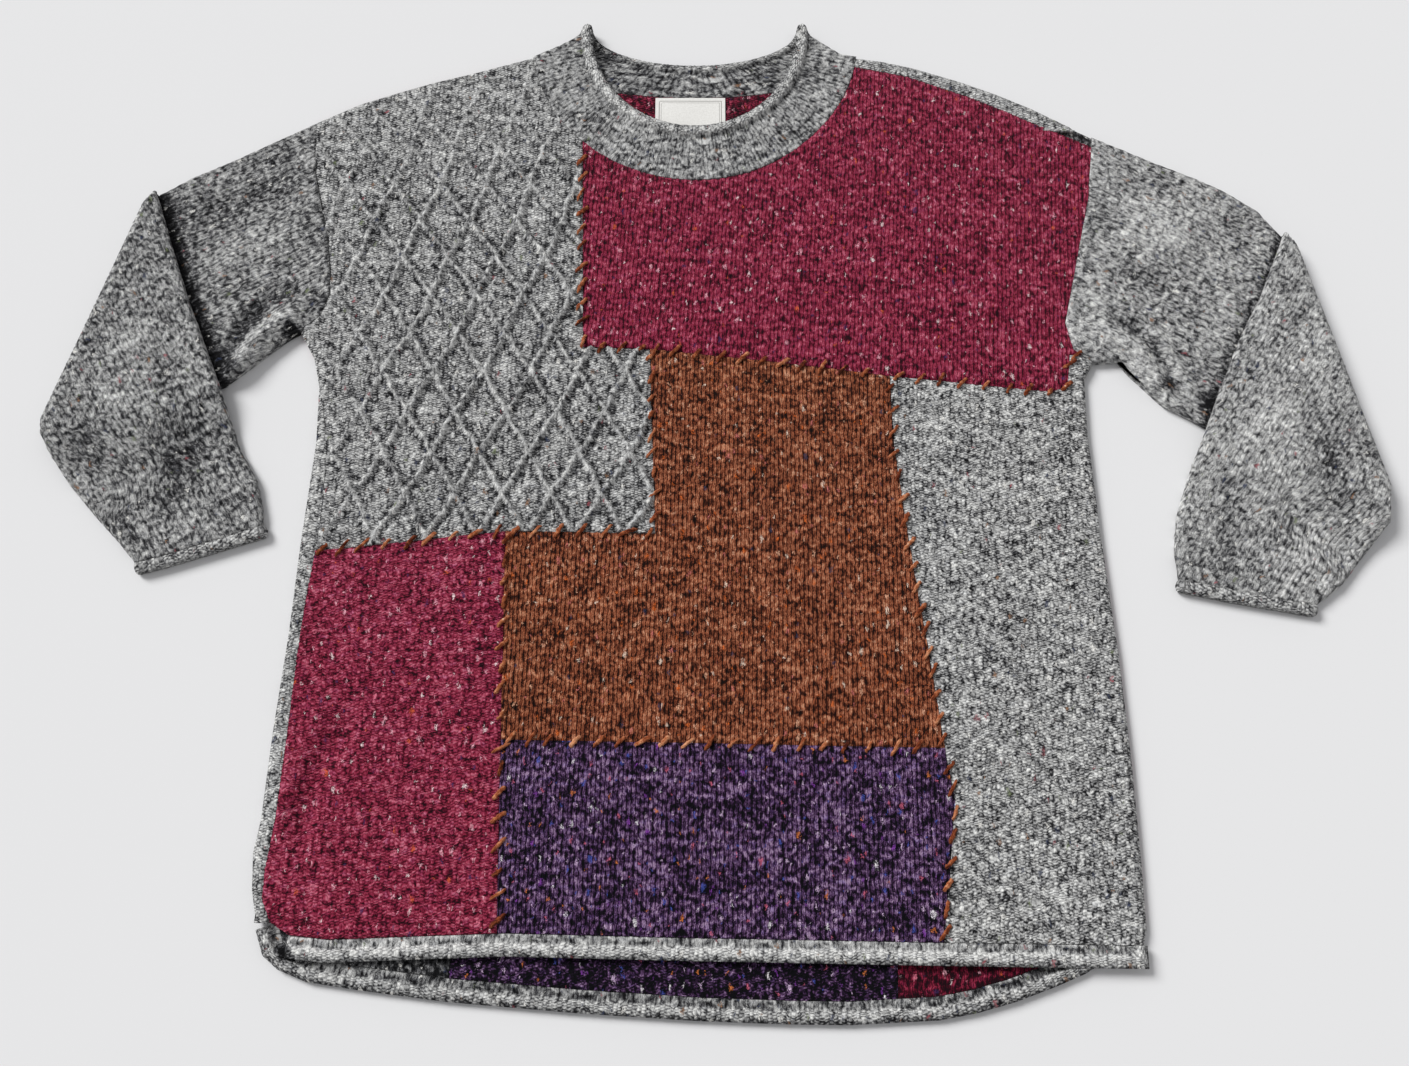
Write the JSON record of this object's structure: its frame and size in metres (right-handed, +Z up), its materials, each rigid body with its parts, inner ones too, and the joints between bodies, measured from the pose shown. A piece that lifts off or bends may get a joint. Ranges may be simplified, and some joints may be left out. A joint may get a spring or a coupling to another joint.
{
  "type": "patchwork wool sweater",
  "caption": "Oversized knitted wool sweater of patches oversewn together, laid flat with both sleeves folded in, rolled neck, cuffs and hem.",
  "frame": {"origin": "centre of the laid-out sweater's outline, on the surface that it lies on", "axes": "+X across the garment to the right-hand sleeve as seen from above, +Y up the garment to the neck, +Z up from the surface"},
  "size_m": [1.0215, 0.7957, 0.0158],
  "materials": {
    "grey_wool": "matt heathered grey tweed knit with pale and dark flecks",
    "burgundy_wool": "matt burgundy tweed knit with pale, orange and blue flecks",
    "brown_wool": "matt rust brown tweed knit, and the yarn that oversews the patches",
    "purple_wool": "matt dark purple tweed knit with pale, orange and blue flecks",
    "label_cotton": "matt off-white woven label, blank"
  },
  "bodies": {
    "root": {"front_diamond": "grey_wool", "front_side": "grey_wool", "back_diamond": "grey_wool", "back_side": "grey_wool", "front_hem": "grey_wool", "back_hem": "grey_wool", "front_neckband": "grey_wool", "back_neckband": "grey_wool", "left_sleeve": "grey_wool", "right_sleeve": "grey_wool", "left_cuff": "grey_wool", "right_cuff": "grey_wool", "front_yoke": "burgundy_wool", "front_lower": "burgundy_wool", "back_yoke": "burgundy_wool", "back_lower": "burgundy_wool", "front_centre": "brown_wool", "back_centre": "brown_wool", "front_bottom": "purple_wool", "back_bottom": "purple_wool", "neck_label": "label_cotton"}
  },
  "joints": []
}
